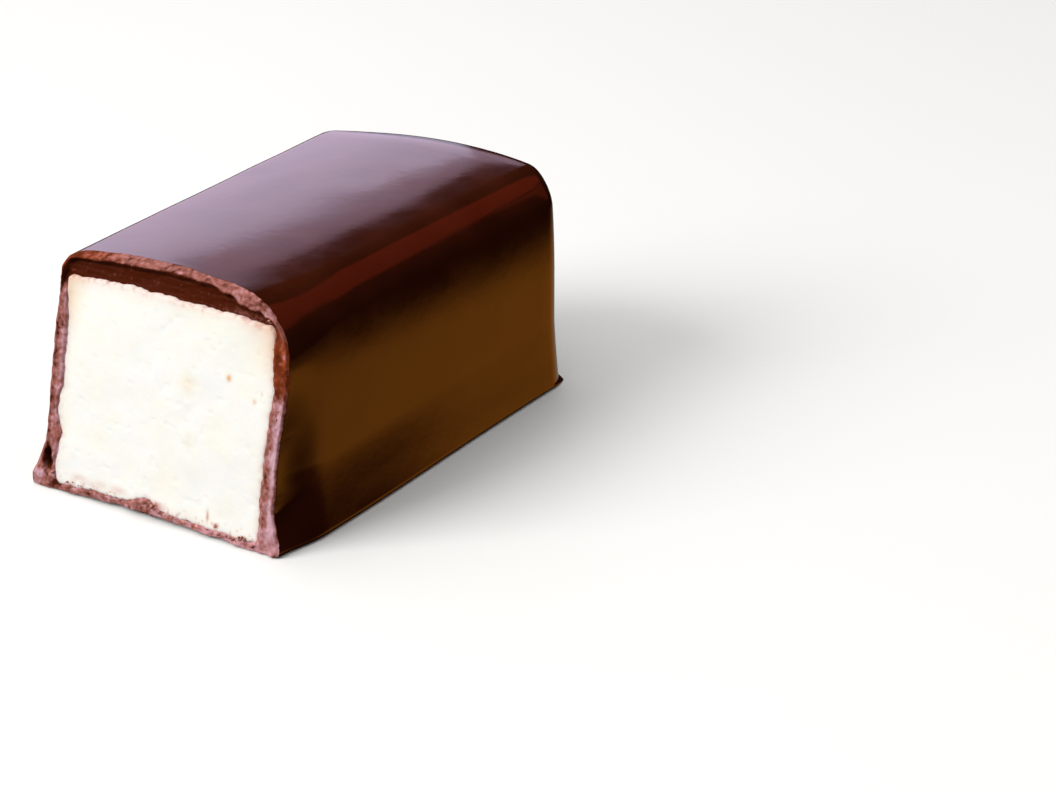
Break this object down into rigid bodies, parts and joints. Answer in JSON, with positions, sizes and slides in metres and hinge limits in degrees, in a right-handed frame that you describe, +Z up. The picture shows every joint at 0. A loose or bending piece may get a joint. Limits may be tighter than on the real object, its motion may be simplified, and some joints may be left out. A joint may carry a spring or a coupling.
{
  "type": "chocolate-coated souffle candy, cut open",
  "caption": "Oblong chocolate candy with a flat base and a soft crowned top, cut across to show a thin dark coat around a white souffle filling.",
  "frame": {"origin": "middle of the base, on the surface the candy stands on", "axes": "+Y from the cut to the rounded far end, +Z up, +X to the right seen from the cut"},
  "size_m": [0.0266, 0.041, 0.0197],
  "materials": {
    "chocolate": "satin gloss, rough where broken",
    "souffle": "matt, fine-pored, softly translucent"
  },
  "bodies": {
    "root": {"chocolate_coat": "chocolate", "souffle_filling": "souffle"}
  },
  "joints": []
}
